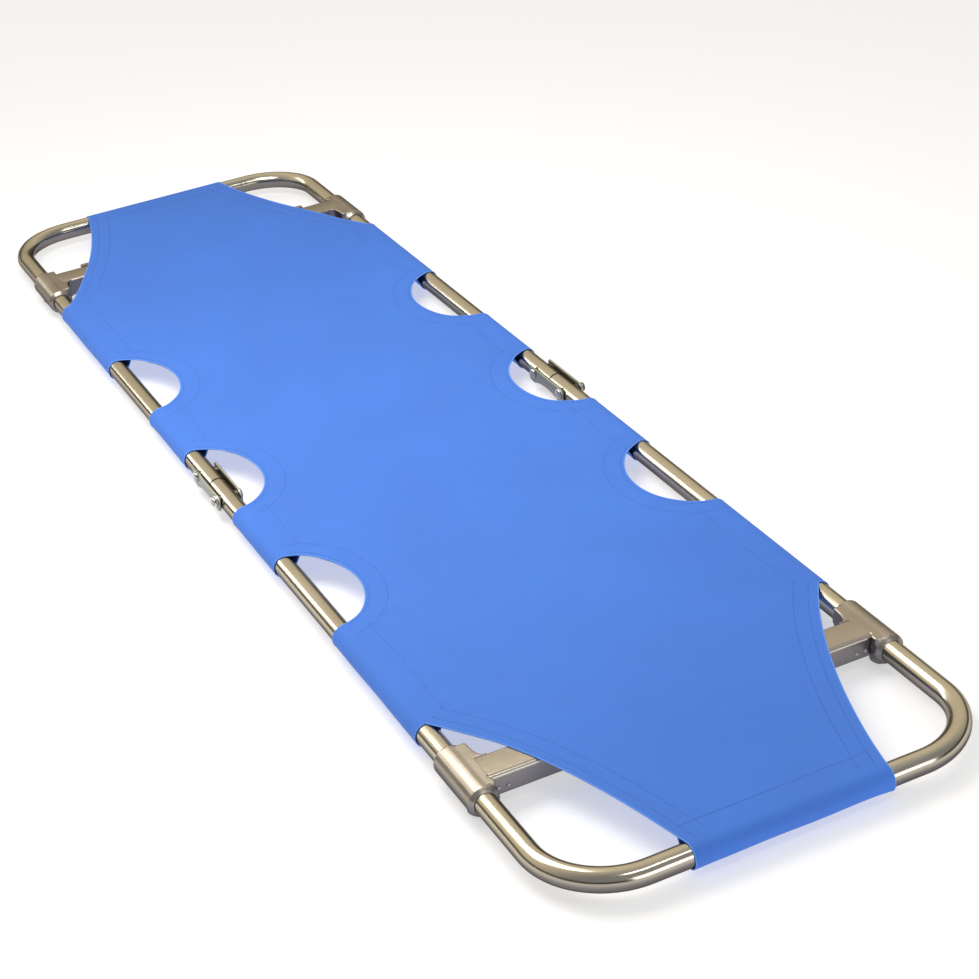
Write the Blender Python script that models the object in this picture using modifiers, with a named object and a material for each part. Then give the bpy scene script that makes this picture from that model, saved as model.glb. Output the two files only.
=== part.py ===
"""Folding stretcher: two hinged halves of bent aluminium tube with a blue canvas bed.

X runs across the stretcher, Y along it (+Y towards the far end) and Z up from the floor.
`side` is -1 for left and +1 for right; `end` is -1 for the near half and +1 for the far half.
"""
import math

import bmesh
import bpy
from mathutils import Matrix, Vector

# Driving dimensions, in metres
FRAME_WIDTH = 0.550
FRAME_LENGTH = 2.085
TUBE_RADIUS = 0.014
TUBE_WALL = 0.0015
CORNER_RADIUS = 0.093
AXIS_HEIGHT = 0.026
SEAM_GAP = 0.0030
GAP = 0.0003

CROSSBAR_Y = 0.798
CROSSBAR_WIDTH = 0.042
CROSSBAR_TOP = 0.0186
CROSSBAR_BOTTOM = -0.0100
CROSSBAR_WALL = 0.002
CROSSBAR_CORNER = 0.003
CROSSBAR_INNER_CORNER = 0.001
CROSSBAR_REACH = 0.246

COLLAR_INNER_Y = 0.740
COLLAR_OUTER_Y = 0.834
COLLAR_RADIUS = 0.0194
COLLAR_ROUNDING = 0.0025
WEB_EDGE = 0.0012
WEB_SHOULDER = 0.0019
SCALLOP_LENGTH = 0.013
SCALLOP_EASE = 0.002
SPIGOT_START = 0.214
SPIGOT_END = 0.249
SPIGOT_EASE = 0.0005
SOCKET_START = 0.200
FOOT_Y = 0.812
FOOT_BOSS_RADIUS = 0.0125
FOOT_BOSS_EDGE = 0.002
FOOT_PAD_RADIUS = 0.009
FOOT_PAD_HEIGHT = 0.004
FOOT_PAD_PROUD = 0.0016
FOOT_PAD_EDGE = 0.0006
RIVET_XS = (0.225, 0.2375)
RIVET_RADIUS = 0.0019
RIVET_HEAD_RADIUS = 0.0029
RIVET_HEAD_HEIGHT = 0.0016
RIVET_LENGTH = 0.012
OVERCUT = 0.002

PIN_Y = 0.040
PIN_RISE = 0.004
PLATE_THICKNESS = 0.0028
PLATE_FAR_END = 0.053
PLATE_TOP = 0.009
LOBE_RADIUS = 0.012
PLATE_CORNER = 0.005
PLATE_DROP = 0.001
PLATE_EDGE = 0.0004
WAIST_BEND = -0.0026
PIN_RADIUS = 0.0050
BUSH_RADIUS = 0.0065
PIN_HEAD_RADIUS = 0.0078
PIN_HEAD_HEIGHT = 0.0036
FIXED_HEAD_SHARE = 0.9
FLANGE_HEIGHT = 0.0016
FLANGE_EDGE = 0.0006
BUTTON_BORE = 0.0034
BUTTON_BORE_FLOOR = -0.012
BUTTON_TRAVEL = 0.0025
BUTTON_RADIUS = 0.0064
BUTTON_HEIGHT = 0.0028
BUTTON_STEM_END = -0.002
SPRING_WIRE = 0.00035
SPRING_RADIUS = 0.0026
SPRING_TURNS = 5
BUSH_CLEAR = 0.0002

CUTOUT_SPACING = 0.345
CUTOUT_CENTRE_X = 0.272
CUTOUT_HALF_LENGTH = 0.098
CUTOUT_DEPTH = 0.072
CORNER_CUT_Y = 0.684
END_SLEEVE_HALF = 0.122
CORNER_CUT_BEND = (0.164, 0.823)
CANVAS = 0.0016
CANVAS_CLEAR = 0.0007
SLEEVE_TUCK = 0.033
MID_STRIP_HALF = 0.042
CANVAS_START = 0.054

# The bed's rise over the crossbar: distance along the stretcher, share of the full rise
BED_RISE = ((0.705, 0.0), (0.772, 1.0), (0.824, 1.0), (0.960, 0.0))

LUG_X = 0.190
LUG_WIDTH = 0.016
LUG_REACH = 0.012
LUG_NECK = 0.007
LUG_EASE = 0.002
LUG_FOOT = 0.003
LUG_HEIGHT = 0.022
LUG_EDGE = 0.0006

# Values worked out from them
TUBE_X = FRAME_WIDTH / 2 - TUBE_RADIUS
TUBE_Y = FRAME_LENGTH / 2 - TUBE_RADIUS
PIN_Z = AXIS_HEIGHT + PIN_RISE
PLATE_INNER = TUBE_RADIUS + GAP
PLATE_OUTER = PLATE_INNER + PLATE_THICKNESS
HEAD_FACE = PLATE_OUTER + GAP
FLANGE_FACE = HEAD_FACE + FLANGE_HEIGHT
COLLAR_BORE = TUBE_RADIUS + GAP + 0.0001
FOOT_BOSS_BOTTOM = FOOT_PAD_PROUD
CANVAS_BOTTOM = AXIS_HEIGHT + TUBE_RADIUS + CANVAS_CLEAR
FULL_RISE = AXIS_HEIGHT + CROSSBAR_TOP + GAP - CANVAS_BOTTOM
SLEEVE_INNER = TUBE_RADIUS + CANVAS_CLEAR + 0.0002
SLEEVE_OUTER = SLEEVE_INNER + CANVAS + 0.0002

SIDE_NAMES = {-1: "left", 1: "right"}
END_NAMES = {-1: "near", 1: "far"}
FINISHES = {
    "tube_aluminium": ((0.60, 0.53, 0.41), 1.0, 0.22),
    "cast_aluminium": ((0.52, 0.47, 0.40), 1.0, 0.42),
    "zinc_steel": ((0.55, 0.56, 0.48), 1.0, 0.30),
    "bright_steel": ((0.75, 0.75, 0.72), 1.0, 0.15),
    "bronze": ((0.50, 0.35, 0.16), 1.0, 0.35),
    "rubber": ((0.05, 0.05, 0.05), 0.0, 0.80),
    "canvas": ((0.10, 0.24, 0.74), 0.0, 0.85),
}


def clear_scene():
    for obj in list(bpy.data.objects):
        bpy.data.objects.remove(obj, do_unlink=True)


def collection(name):
    made = bpy.data.collections.new(name)
    bpy.context.scene.collection.children.link(made)
    return made


def finish(obj, name, finish_name):
    """Names the object and gives it a material of its own."""
    obj.name = name
    colour, metallic, roughness = FINISHES[finish_name]
    made = bpy.data.materials.new(name)
    made.use_nodes = True
    shader = made.node_tree.nodes["Principled BSDF"]
    shader.inputs["Base Color"].default_value = (*colour, 1)
    shader.inputs["Metallic"].default_value = metallic
    shader.inputs["Roughness"].default_value = roughness
    made.diffuse_color = (*colour, 1)
    obj.data.materials.clear()
    obj.data.materials.append(made)
    return obj


def add_object(name, data, matrix=None, into=None):
    obj = bpy.data.objects.new(name, data)
    (into or PARTS).objects.link(obj)
    if matrix is not None:
        obj.matrix_world = matrix
    return obj


def as_mesh(curve_object, weld=0.00001):
    """Replaces a curve by the closed mesh that it shows."""
    bpy.context.view_layer.update()
    shown = curve_object.evaluated_get(bpy.context.evaluated_depsgraph_get())
    mesh = bpy.data.meshes.new_from_object(shown)
    work = bmesh.new()
    work.from_mesh(mesh)
    bmesh.ops.remove_doubles(work, verts=work.verts, dist=weld)
    work.to_mesh(mesh)
    work.free()
    matrix = curve_object.matrix_world.copy()
    group = curve_object.users_collection[0]
    name = curve_object.name
    bpy.data.objects.remove(curve_object, do_unlink=True)
    return add_object(name, mesh, matrix, group)


def boolean(obj, operation, tool, solver="EXACT"):
    """Adds one Boolean modifier and hides its tool."""
    modifier = obj.modifiers.new(operation.lower(), "BOOLEAN")
    modifier.operation = operation
    modifier.solver = solver
    modifier.object = tool
    for group in list(tool.users_collection):
        group.objects.unlink(tool)
    CUTTERS.objects.link(tool)
    tool.hide_render = True
    tool.display_type = "WIRE"


def cylinder(name, radius, start, stop, sides=20):
    """A closed cylinder between two points."""
    start, stop = Vector(start), Vector(stop)
    work = bmesh.new()
    bmesh.ops.create_cone(
        work, cap_ends=True, segments=sides, radius1=radius, radius2=radius,
        depth=(stop - start).length,
    )
    mesh = bpy.data.meshes.new(name)
    work.to_mesh(mesh)
    work.free()
    turn = (stop - start).to_track_quat("Z", "Y").to_matrix().to_4x4()
    return add_object(name, mesh, Matrix.Translation((start + stop) / 2) @ turn)


def box(name, low, high):
    low, high = Vector(low), Vector(high)
    work = bmesh.new()
    bmesh.ops.create_cube(work, size=1)
    bmesh.ops.scale(work, vec=high - low, verts=work.verts)
    mesh = bpy.data.meshes.new(name)
    work.to_mesh(mesh)
    work.free()
    return add_object(name, mesh, Matrix.Translation((low + high) / 2))


def outline(name, loops, thickness, matrix, edge=0.0):
    """A flat outline with holes, extruded to a thickness about its own plane."""
    curve = bpy.data.curves.new(name, "CURVE")
    curve.dimensions = "2D"
    curve.fill_mode = "BOTH"
    curve.extrude = thickness / 2 - edge
    curve.bevel_depth = edge
    curve.bevel_resolution = 0
    curve.offset = -edge
    for loop in loops:
        spline = curve.splines.new("POLY")
        spline.points.add(len(loop) - 1)
        for point, (u, v) in zip(spline.points, loop):
            point.co = (u, v, 0, 1)
        spline.use_cyclic_u = True
    return add_object(name, curve, matrix)


def turned(name, profile, matrix, steps=16):
    """A turned shape from (radius, height) points that run down its outer side."""
    mesh = bpy.data.meshes.new(name)
    points = [(radius, 0, height) for radius, height in profile]
    closed = profile[0][0] > 0
    edges = [(i, i + 1) for i in range(len(points) - 1)]
    if closed:
        edges.append((len(points) - 1, 0))
    mesh.from_pydata(points, edges, [])
    obj = add_object(name, mesh, matrix)
    screw = obj.modifiers.new("turn", "SCREW")
    screw.steps = screw.render_steps = steps
    screw.use_merge_vertices = True
    screw.merge_threshold = 0.00001
    return obj


def arc(centre, radius, start, stop, count):
    """Points of an arc, with its angles in degrees."""
    angles = [math.radians(start + (stop - start) * i / count) for i in range(count + 1)]
    return [(centre[0] + radius * math.cos(a), centre[1] + radius * math.sin(a)) for a in angles]


def bezier(start, bend, stop, count):
    """Points of a quadratic curve."""
    points = []
    for i in range(count + 1):
        t = i / count
        a, b, c = (1 - t) ** 2, 2 * t * (1 - t), t * t
        points.append(tuple(a * p + b * q + c * r for p, q, r in zip(start, bend, stop)))
    return points


def mirrored(points, side, end):
    return [(side * x, end * y) for x, y in points]


def along_x(x, y, z, side):
    """Turns +Z to point away from the stretcher's middle, towards `side`."""
    return Matrix.Translation((x, y, z)) @ Matrix.Rotation(side * math.pi / 2, 4, "Y")


# Frame ---------------------------------------------------------------------

def frame_tube(end):
    """Half of the frame: a U of round tube, open at both ends."""
    bend_x, bend_y = TUBE_X - CORNER_RADIUS, TUBE_Y - CORNER_RADIUS
    path = [(TUBE_X, SEAM_GAP / 2), (TUBE_X, CUTOUT_SPACING)]
    path += arc((bend_x, bend_y), CORNER_RADIUS, 0, 90, 7)
    path += arc((-bend_x, bend_y), CORNER_RADIUS, 90, 180, 7)
    path += [(-TUBE_X, CUTOUT_SPACING), (-TUBE_X, SEAM_GAP / 2)]
    name = f"{END_NAMES[end]}_frame_tube"
    curve = bpy.data.curves.new(name, "CURVE")
    curve.dimensions = "3D"
    curve.bevel_depth = TUBE_RADIUS
    curve.bevel_resolution = 8
    spline = curve.splines.new("POLY")
    spline.points.add(len(path) - 1)
    for point, (x, y) in zip(spline.points, path):
        point.co = (x, end * y, 0, 1)
    tube = as_mesh(add_object(name, curve, Matrix.Translation((0, 0, AXIS_HEIGHT))))
    wall = tube.modifiers.new("wall", "SOLIDIFY")
    wall.thickness = TUBE_WALL
    wall.offset = -1
    for side in (-1, 1):
        x, y = side * TUBE_X, end * PIN_Y
        reach = TUBE_RADIUS * 1.5
        hole = cylinder(
            f"{name}_hole", BUSH_RADIUS + GAP, (x - reach, y, PIN_Z), (x + reach, y, PIN_Z), 16
        )
        boolean(tube, "DIFFERENCE", hole)
    finish(tube, name, "tube_aluminium")


def crossbar(end):
    """A hollow rectangular bar with rivet holes in its outer side."""
    name = f"{END_NAMES[end]}_crossbar"
    half = CROSSBAR_WIDTH / 2
    middle = (CROSSBAR_TOP + CROSSBAR_BOTTOM) / 2
    height = (CROSSBAR_TOP - CROSSBAR_BOTTOM) / 2

    def rounded(inset, radius):
        loop = []
        corners = ((1, 1, 0), (-1, 1, 90), (-1, -1, 180), (1, -1, 270))
        for u, v, start in corners:
            centre = (u * (half - inset - radius), v * (height - inset - radius))
            loop += arc(centre, radius, start, start + 90, 3)
        return loop

    across = Matrix.Rotation(math.pi / 2, 4, "Z") @ Matrix.Rotation(math.pi / 2, 4, "X")
    place = Matrix.Translation((0, end * CROSSBAR_Y, AXIS_HEIGHT + middle))
    loops = [rounded(0, CROSSBAR_CORNER), rounded(CROSSBAR_WALL, CROSSBAR_INNER_CORNER)]
    bar = as_mesh(outline(name, loops, 2 * CROSSBAR_REACH, place @ across))
    for side in (-1, 1):
        for x in RIVET_XS:
            boolean(bar, "DIFFERENCE", rivet_hole(side, end, x))
    finish(bar, name, "cast_aluminium")


def rivet_hole(side, end, x):
    outer = CROSSBAR_Y + CROSSBAR_WIDTH / 2
    return cylinder(
        "rivet_hole", RIVET_RADIUS + GAP,
        (side * x, end * (outer + OVERCUT), AXIS_HEIGHT),
        (side * x, end * (outer - RIVET_LENGTH - OVERCUT), AXIS_HEIGHT), 12,
    )


def collar_plan():
    """The casting's web from above: a scallop towards the hinge, square to the crossbar."""
    cheek = TUBE_X - COLLAR_RADIUS
    shoulder = cheek + WEB_SHOULDER
    near_side = CROSSBAR_Y - CROSSBAR_WIDTH / 2 - GAP
    start, stop = COLLAR_INNER_Y + 2 * COLLAR_ROUNDING, COLLAR_OUTER_Y - 2 * COLLAR_ROUNDING
    tip, inset = cheek - SCALLOP_LENGTH, near_side + SCALLOP_EASE
    scallop_start = (cheek - SCALLOP_EASE / 2, start + SCALLOP_EASE)
    plan = [(TUBE_X, start), (cheek + SCALLOP_EASE, start)]
    plan += bezier(scallop_start, (cheek, near_side), (tip, near_side), 6)
    plan += [(tip + SCALLOP_EASE / 2, inset), (shoulder, inset)]
    return plan + [(shoulder, stop), (TUBE_X, stop)]


def collar(side, end):
    """A cast tee that joins the side tube to the crossbar and carries a foot."""
    name = f"{END_NAMES[end]}_collar_{SIDE_NAMES[side]}"
    middle = AXIS_HEIGHT + (CROSSBAR_TOP + CROSSBAR_BOTTOM) / 2
    height = CROSSBAR_TOP - CROSSBAR_BOTTOM
    plan = mirrored(collar_plan(), side, end)
    body = as_mesh(outline(name, [plan], height, Matrix.Translation((0, 0, middle))))
    round_edges(body, WEB_EDGE)
    x, y = side * TUBE_X, end * FOOT_Y

    def round_tube(radius, low, high, sides):
        start, stop = (x, end * low, AXIS_HEIGHT), (x, end * high, AXIS_HEIGHT)
        return cylinder("collar_round", radius, start, stop, sides)

    def crossbar_room(name, start, stop, clear):
        """A box about the crossbar's end, `clear` outside its section."""
        xs = sorted((side * start, side * stop))
        half = CROSSBAR_WIDTH / 2 + clear
        low = (xs[0], end * CROSSBAR_Y - half, AXIS_HEIGHT + CROSSBAR_BOTTOM - clear)
        return box(name, low, (xs[1], end * CROSSBAR_Y + half, AXIS_HEIGHT + CROSSBAR_TOP + clear))

    wrap = round_tube(COLLAR_RADIUS, COLLAR_INNER_Y, COLLAR_OUTER_Y, 24)
    round_edges(wrap, COLLAR_ROUNDING)
    boss = cylinder(
        "foot_boss", FOOT_BOSS_RADIUS, (x, y, FOOT_BOSS_BOTTOM), (x, y, AXIS_HEIGHT - TUBE_RADIUS / 2)
    )
    round_edges(boss, FOOT_BOSS_EDGE)
    socket = crossbar_room("socket", SOCKET_START, CROSSBAR_REACH + GAP, GAP)
    spigot = crossbar_room("spigot", SPIGOT_START, SPIGOT_END, -CROSSBAR_WALL - SPIGOT_EASE)
    bore = round_tube(COLLAR_BORE, COLLAR_INNER_Y - 10 * OVERCUT, COLLAR_OUTER_Y + 10 * OVERCUT, 32)
    recess = cylinder(
        "foot_recess", FOOT_PAD_RADIUS + GAP, (x, y, -OVERCUT / 2), (x, y, FOOT_PAD_HEIGHT + GAP)
    )
    for tool in (wrap, boss):
        boolean(body, "UNION", tool, "MANIFOLD")
    boolean(body, "DIFFERENCE", socket, "MANIFOLD")
    boolean(body, "UNION", spigot, "MANIFOLD")
    for tool in (bore, recess, *(rivet_hole(side, end, rivet_x) for rivet_x in RIVET_XS)):
        boolean(body, "DIFFERENCE", tool, "MANIFOLD")
    finish(body, name, "cast_aluminium")


def round_edges(obj, width):
    bevel = obj.modifiers.new("edge", "BEVEL")
    bevel.width = width
    bevel.segments = 1
    bevel.limit_method = "ANGLE"
    bevel.angle_limit = math.radians(60)


def collar_rivet(side, end, number):
    """A dome-head rivet through the crossbar's wall into the collar's spigot."""
    name = f"{END_NAMES[end]}_collar_rivet_{SIDE_NAMES[side]}_{number}"
    head, rise = RIVET_HEAD_RADIUS, RIVET_HEAD_HEIGHT
    profile = [(0, rise), (head * 0.55, rise * 0.85), (head, GAP), (RIVET_RADIUS, GAP)]
    profile += [(RIVET_RADIUS, -RIVET_LENGTH), (0, -RIVET_LENGTH)]
    outer = end * (CROSSBAR_Y + CROSSBAR_WIDTH / 2)
    turn = Matrix.Rotation(-end * math.pi / 2, 4, "X")
    place = Matrix.Translation((side * RIVET_XS[number - 1], outer, AXIS_HEIGHT)) @ turn
    finish(turned(name, profile, place, 12), name, "bright_steel")


def foot_pad(side, end):
    name = f"{END_NAMES[end]}_foot_pad_{SIDE_NAMES[side]}"
    radius, height, edge = FOOT_PAD_RADIUS, FOOT_PAD_HEIGHT, FOOT_PAD_EDGE
    profile = [(0, height), (radius, height), (radius, edge), (radius - edge, 0), (0, 0)]
    place = Matrix.Translation((side * TUBE_X, end * FOOT_Y, 0))
    finish(turned(name, profile, place), name, "rubber")


def strap_lug(side):
    """A small bracket on the outer side of the far crossbar."""
    name = f"far_strap_lug_{SIDE_NAMES[side]}"
    outer = CROSSBAR_Y + CROSSBAR_WIDTH / 2 + GAP
    top = CROSSBAR_TOP - LUG_EDGE
    low, step = top - LUG_HEIGHT, top - LUG_HEIGHT / 2
    tip = outer + LUG_REACH
    profile = [(outer, low), (outer + LUG_FOOT, low), (outer + LUG_FOOT, step)]
    profile += bezier(
        (tip - LUG_EASE, step + LUG_EASE), (tip + LUG_FOOT, top), (outer + LUG_NECK, top), 4
    )
    profile += [(outer, top)]
    turn = Matrix.Rotation(math.pi / 2, 4, "Z") @ Matrix.Rotation(math.pi / 2, 4, "X")
    place = Matrix.Translation((side * LUG_X, 0, AXIS_HEIGHT)) @ turn
    finish(outline(name, [profile], LUG_WIDTH, place, LUG_EDGE), name, "cast_aluminium")


# Hinges --------------------------------------------------------------------

def plate_loops():
    """The hinge plate in (y, z) about the point midway between its pins."""
    lobe_z = PLATE_TOP - LOBE_RADIUS
    corner_y = PLATE_FAR_END - PLATE_CORNER
    loop = arc((-PIN_Y, lobe_z), LOBE_RADIUS, 90, 300, 9)
    waist_start = loop[-1]
    loop += bezier(waist_start, (0, WAIST_BEND), (-waist_start[0], waist_start[1]), 8)[1:-1]
    loop += arc((PIN_Y, lobe_z), LOBE_RADIUS, 240, 275, 3)
    low_corner = (corner_y, lobe_z - LOBE_RADIUS + PLATE_CORNER + PLATE_DROP)
    loop += arc(low_corner, PLATE_CORNER, 275, 360, 4)
    loop += arc((corner_y, PLATE_TOP - PLATE_CORNER), PLATE_CORNER, 0, 90, 4)
    holes = [arc((y, 0), PIN_RADIUS + GAP, 0, 337.5, 15) for y in (-PIN_Y, PIN_Y)]
    return [loop] + holes


def hinge_plate(side, outer):
    """A steel plate that lies along one cheek of the tube and holds both pins."""
    where = "outer" if outer else "inner"
    name = f"hinge_plate_{where}_{SIDE_NAMES[side]}"
    offset = (1 if outer else -1) * side * (PLATE_INNER + PLATE_OUTER) / 2
    turn = Matrix.Rotation(math.pi / 2, 4, "Z") @ Matrix.Rotation(math.pi / 2, 4, "X")
    place = Matrix.Translation((side * TUBE_X + offset, 0, PIN_Z)) @ turn
    plate = outline(name, plate_loops(), PLATE_THICKNESS, place, PLATE_EDGE)
    finish(plate, name, "zinc_steel")


def dome(radius, height, base, count=4):
    """Points of a domed head's outside, from its crown to its rim."""
    steps = [math.radians(90 * i / count) for i in range(count + 1)]
    return [(radius * math.sin(a), base + height * math.cos(a)) for a in steps]


def fixed_pin(side):
    """The far pin: a plain rivet with a domed head at each end."""
    name = f"far_hinge_pin_{SIDE_NAMES[side]}"
    head = dome(PIN_HEAD_RADIUS * FIXED_HEAD_SHARE, PIN_HEAD_HEIGHT, HEAD_FACE)
    profile = head + [(PIN_RADIUS, HEAD_FACE), (PIN_RADIUS, -HEAD_FACE)]
    profile += [(radius, -height) for radius, height in reversed(head)]
    place = along_x(side * TUBE_X, PIN_Y, PIN_Z, side)
    finish(turned(name, profile, place), name, "bright_steel")


def hollow_pin(side):
    """The near pin: bored from its outer end for the release button and its spring."""
    name = f"near_hinge_pin_{SIDE_NAMES[side]}"
    floor = BUTTON_BORE_FLOOR
    head = dome(PIN_HEAD_RADIUS, PIN_HEAD_HEIGHT, HEAD_FACE)
    profile = [(0, floor), (BUTTON_BORE, floor), (BUTTON_BORE, FLANGE_FACE)]
    profile += [(PIN_HEAD_RADIUS - FLANGE_EDGE, FLANGE_FACE)]
    profile += [(PIN_HEAD_RADIUS, FLANGE_FACE - FLANGE_EDGE)]
    profile += [(PIN_HEAD_RADIUS, HEAD_FACE), (PIN_RADIUS, HEAD_FACE), (PIN_RADIUS, -HEAD_FACE)]
    profile += [(radius, -height) for radius, height in reversed(head)]
    place = along_x(side * TUBE_X, -PIN_Y, PIN_Z, side)
    finish(turned(name, profile, place), name, "bright_steel")


def release_button(side):
    """A spring-loaded push button that slides in the near pin."""
    name = f"release_button_{SIDE_NAMES[side]}"
    under = FLANGE_FACE + BUTTON_TRAVEL + GAP
    stem = BUTTON_BORE - GAP
    profile = dome(BUTTON_RADIUS, BUTTON_HEIGHT, under) + [(stem, under)]
    profile += [(stem, BUTTON_STEM_END), (0, BUTTON_STEM_END)]
    place = along_x(side * TUBE_X, -PIN_Y, PIN_Z, side)
    finish(turned(name, profile, place), name, "bright_steel")


def button_spring(side):
    """The compression spring behind the button's stem."""
    name = f"button_spring_{SIDE_NAMES[side]}"
    radius, per_turn = SPRING_RADIUS, 12
    low = BUTTON_BORE_FLOOR + GAP + SPRING_WIRE
    high = BUTTON_STEM_END - GAP - SPRING_WIRE
    curve = bpy.data.curves.new(name, "CURVE")
    curve.dimensions = "3D"
    curve.bevel_depth = SPRING_WIRE
    curve.bevel_resolution = 1
    curve.use_fill_caps = True
    spline = curve.splines.new("POLY")
    count = SPRING_TURNS * per_turn
    spline.points.add(count)
    for i, point in enumerate(spline.points):
        turn = 2 * math.pi * i / per_turn
        height = low + (high - low) * i / count
        point.co = (radius * math.cos(turn), radius * math.sin(turn), height, 1)
    place = along_x(side * TUBE_X, -PIN_Y, PIN_Z, side)
    finish(add_object(name, curve, place), name, "bright_steel")


def pin_bush(side, end):
    """A bush through the tube that a hinge pin turns in."""
    name = f"{END_NAMES[end]}_pin_bush_{SIDE_NAMES[side]}"
    inner, reach = PIN_RADIUS + BUSH_CLEAR, TUBE_RADIUS
    profile = [(BUSH_RADIUS, reach), (BUSH_RADIUS, -reach), (inner, -reach), (inner, reach)]
    place = along_x(side * TUBE_X, end * PIN_Y, PIN_Z, side)
    finish(turned(name, profile, place), name, "bronze")


# Canvas --------------------------------------------------------------------

def cutout_edge(centre_y, low, high, count=14):
    """Points along a half-moon hand hole, where low <= y - centre_y <= high."""
    limit = CUTOUT_HALF_LENGTH * math.sqrt(1 - ((CUTOUT_CENTRE_X - TUBE_X) / CUTOUT_DEPTH) ** 2)
    first = math.asin(max(low, -limit) / CUTOUT_HALF_LENGTH)
    last = math.asin(min(high, limit) / CUTOUT_HALF_LENGTH)
    points = []
    for i in range(count + 1):
        angle = first + (last - first) * i / count
        x = CUTOUT_CENTRE_X - CUTOUT_DEPTH * math.cos(angle)
        points.append((x, centre_y + CUTOUT_HALF_LENGTH * math.sin(angle)))
    return points


def sheet(name, right_edge, end):
    """The flat bed between two side edges that mirror each other."""
    loop = right_edge + [(-x, y) for x, y in reversed(right_edge)]
    place = Matrix.Translation((0, 0, CANVAS_BOTTOM + CANVAS / 2))
    return as_mesh(outline(name, [mirrored(loop, 1, end)], CANVAS, place))


def over_crossbar(bed, end):
    """Lifts the bed where it passes over the crossbar; each of its planes stays flat."""
    work = bmesh.new()
    work.from_mesh(bed.data)
    for y, _ in BED_RISE:
        everything = work.verts[:] + work.edges[:] + work.faces[:]
        bmesh.ops.bisect_plane(work, geom=everything, plane_co=(0, end * y, 0), plane_no=(0, 1, 0))
    for vert in work.verts:
        y = end * vert.co.y
        for (low, before), (high, after) in zip(BED_RISE, BED_RISE[1:]):
            if low < y <= high:
                vert.co.z += FULL_RISE * (before + (after - before) * (y - low) / (high - low))
    work.to_mesh(bed.data)
    work.free()


def sleeve_loops():
    """A sleeve's section about the tube: over it, round it and back up to the sheet."""
    loops = []
    for radius in (SLEEVE_OUTER, SLEEVE_INNER):
        tuck = SLEEVE_TUCK * radius / SLEEVE_OUTER
        tangent = math.degrees(2 * math.atan2(radius, tuck))
        loops.append([(-tuck, radius)] + arc((0, 0), radius, 90, tangent - 270 + 90, 14))
    return loops


def side_sleeve(side, end, low, high):
    middle = end * (low + high) / 2
    turn = Matrix.Rotation(math.pi / 2, 4, "X")
    loops = [[(side * x, z) for x, z in loop] for loop in sleeve_loops()]
    place = Matrix.Translation((side * TUBE_X, middle, AXIS_HEIGHT)) @ turn
    return as_mesh(outline("side_sleeve", loops, high - low, place))


def end_sleeve(end):
    turn = Matrix.Rotation(math.pi / 2, 4, "Z") @ Matrix.Rotation(math.pi / 2, 4, "X")
    loops = [[(end * x, z) for x, z in loop] for loop in sleeve_loops()]
    place = Matrix.Translation((0, end * TUBE_Y, AXIS_HEIGHT)) @ turn
    return as_mesh(outline("end_sleeve", loops, 2 * END_SLEEVE_HALF, place))


def half_canvas(end):
    """One half's bed: a sheet with sleeves round the side tubes and the end tube."""
    name = f"{END_NAMES[end]}_canvas"
    edge = cutout_edge(0, CANVAS_START, CUTOUT_HALF_LENGTH, 5)
    sleeve_start = edge[-1][1]
    hole = cutout_edge(CUTOUT_SPACING, -CUTOUT_HALF_LENGTH, CUTOUT_HALF_LENGTH)
    edge += hole
    edge += bezier((TUBE_X, CORNER_CUT_Y), CORNER_CUT_BEND, (END_SLEEVE_HALF, TUBE_Y), 10)
    bed = sheet(name, edge, end)
    over_crossbar(bed, end)
    for side in (-1, 1):
        boolean(bed, "UNION", side_sleeve(side, end, sleeve_start, hole[0][1]))
        boolean(bed, "UNION", side_sleeve(side, end, hole[-1][1], CORNER_CUT_Y - 0.002))
    boolean(bed, "UNION", end_sleeve(end))
    finish(bed, name, "canvas")


def middle_canvas():
    """The strip of bed that bends over the hinges."""
    edge = cutout_edge(0, -MID_STRIP_HALF, MID_STRIP_HALF, 8)
    finish(sheet("middle_canvas", edge, 1), "middle_canvas", "canvas")


clear_scene()
PARTS = collection("folding_stretcher")
CUTTERS = collection("cutters")
for half_end in (-1, 1):
    frame_tube(half_end)
    crossbar(half_end)
    half_canvas(half_end)
    for half_side in (-1, 1):
        collar(half_side, half_end)
        foot_pad(half_side, half_end)
        pin_bush(half_side, half_end)
        for rivet_number in (1, 2):
            collar_rivet(half_side, half_end, rivet_number)
middle_canvas()
for half_side in (-1, 1):
    hinge_plate(half_side, True)
    hinge_plate(half_side, False)
    fixed_pin(half_side)
    hollow_pin(half_side)
    release_button(half_side)
    button_spring(half_side)
    strap_lug(half_side)
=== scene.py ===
"""The looks of the folding stretcher: cloth bed, bent tubes, castings and hinges."""
import math

import bmesh
import bpy
import numpy as np
from mathutils import Matrix, Vector


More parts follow.
